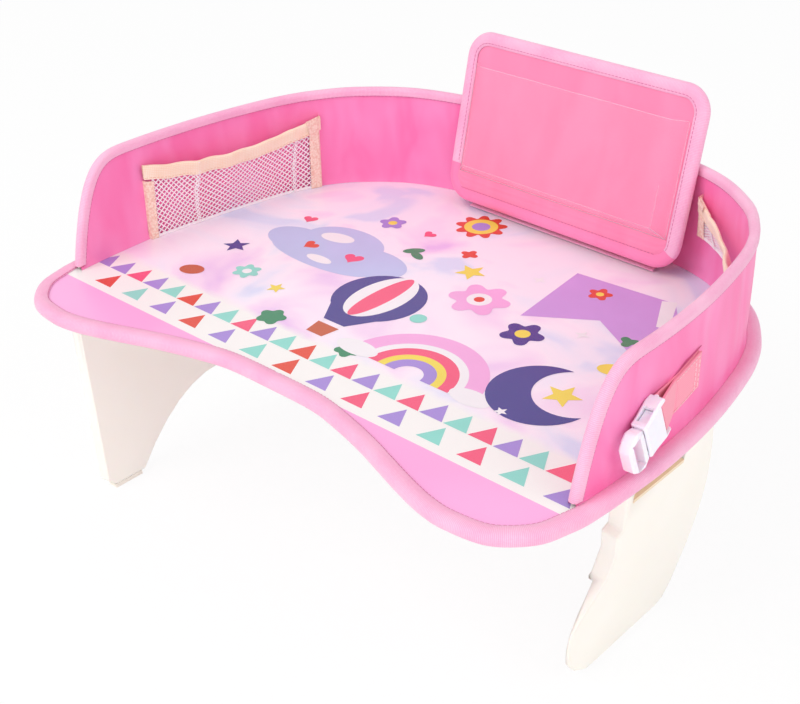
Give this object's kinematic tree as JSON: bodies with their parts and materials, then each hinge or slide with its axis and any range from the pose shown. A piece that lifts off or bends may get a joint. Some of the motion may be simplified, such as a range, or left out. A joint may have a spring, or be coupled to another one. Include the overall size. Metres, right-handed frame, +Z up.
{
  "type": "car seat tray table",
  "caption": "Children's travel tray table with a raised soft rim, net pockets, a leaning phone holder, side buckles and fold-away legs.",
  "frame": {"origin": "On the floor, under the middle of the tray's width and depth.", "axes": "+Z up out of the tray top. The front edge with the hollow for the belly looks along -Y. +X is to the right of somebody standing behind the front edge and looking along +Y."},
  "size_m": [0.4018, 0.3067, 0.2581],
  "materials": {
    "printed_cover": "smooth printed artificial leather",
    "clear_vinyl": "clear glossy vinyl film",
    "stiff_board": "plain extruded board",
    "pink_canvas": "plain woven lining",
    "light_pink_tape": "ribbed folded binding tape",
    "hot_pink_leather": "grained artificial leather",
    "white_net": "knitted diamond net",
    "peach_tape": "woven tape",
    "salmon_webbing": "woven webbing",
    "white_acetal": "moulded acetal, slightly glossy",
    "cream_plastic": "moulded plastic, satin",
    "tan_nylon": "moulded nylon",
    "soft_pad": "soft non-slip pad",
    "bare_steel": "plain steel"
  },
  "bodies": {
    "tray": {"tray_board": "stiff_board", "tray_top_cover": "printed_cover", "tray_clear_film": "clear_vinyl", "tray_bottom_cover": "pink_canvas", "tray_edge_binding": "light_pink_tape", "rim_core": "stiff_board", "rim_inner_cover": "hot_pink_leather", "rim_outer_cover": "hot_pink_leather", "rim_binding": "light_pink_tape", "holder_foot_tape": "light_pink_tape", "left_pocket_net": "white_net", "left_pocket_top_tape": "peach_tape", "left_pocket_front_tape": "peach_tape", "left_pocket_rear_tape": "peach_tape", "left_strap": "salmon_webbing", "left_hinge_bracket": "tan_nylon", "left_hinge_pin": "bare_steel", "left_bracket_screw_1": "bare_steel", "left_bracket_screw_2": "bare_steel", "left_bracket_screw_3": "bare_steel", "left_bracket_screw_4": "bare_steel", "right_pocket_net": "white_net", "right_pocket_top_tape": "peach_tape", "right_pocket_front_tape": "peach_tape", "right_pocket_rear_tape": "peach_tape", "right_strap": "salmon_webbing", "right_hinge_bracket": "tan_nylon", "right_hinge_pin": "bare_steel", "right_bracket_screw_1": "bare_steel", "right_bracket_screw_2": "bare_steel", "right_bracket_screw_3": "bare_steel", "right_bracket_screw_4": "bare_steel"},
    "left_leg_body": {"left_leg": "cream_plastic", "left_front_foot_pad": "soft_pad", "left_rear_foot_pad": "soft_pad"},
    "right_leg_body": {"right_leg": "cream_plastic", "right_foot_pad": "soft_pad"},
    "holder": {"holder_board": "stiff_board", "holder_front_panel": "hot_pink_leather", "holder_back_panel": "hot_pink_leather", "holder_binding": "light_pink_tape", "holder_window": "clear_vinyl", "holder_lower_lip": "hot_pink_leather"},
    "left_buckle": {"left_buckle_socket": "white_acetal"},
    "right_buckle": {"right_buckle_socket": "white_acetal"},
    "left_clip": {"left_buckle_clip": "white_acetal"},
    "right_clip": {"right_buckle_clip": "white_acetal"}
  },
  "joints": [
    {"name": "left_leg_fold", "type": "hinge", "parent": "tray", "child": "left_leg_body", "pos_m": [-0.184, -0.036, 0.13], "axis": [0, -1, 0], "range_deg": [0, 78]},
    {"name": "right_leg_fold", "type": "hinge", "parent": "tray", "child": "right_leg_body", "pos_m": [0.184, -0.035, 0.13], "axis": [0, 1, 0], "range_deg": [0, 78]},
    {"name": "holder_tilt", "type": "hinge", "parent": "tray", "child": "holder", "pos_m": [0.01286, 0.11325, 0.1508], "axis": [0.9994, -0.0354, 0], "range_deg": [0, 84]},
    {"name": "left_buckle_flap", "type": "hinge", "parent": "tray", "child": "left_buckle", "pos_m": [-0.19514, -0.05312, 0.173], "axis": [0, 0.3746, -0.9272], "range_deg": [0, 100]},
    {"name": "left_buckle_release", "type": "slide", "parent": "left_buckle", "child": "left_clip", "axis": [-0.0698, -0.9249, -0.3737], "range_m": [0, 0.0125]},
    {"name": "right_buckle_flap", "type": "hinge", "parent": "tray", "child": "right_buckle", "pos_m": [0.19514, -0.05312, 0.173], "axis": [0, -0.3746, 0.9272], "range_deg": [0, 100]},
    {"name": "right_buckle_release", "type": "slide", "parent": "right_buckle", "child": "right_clip", "axis": [0.0698, -0.9249, -0.3737], "range_m": [0, 0.0125]}
  ]
}
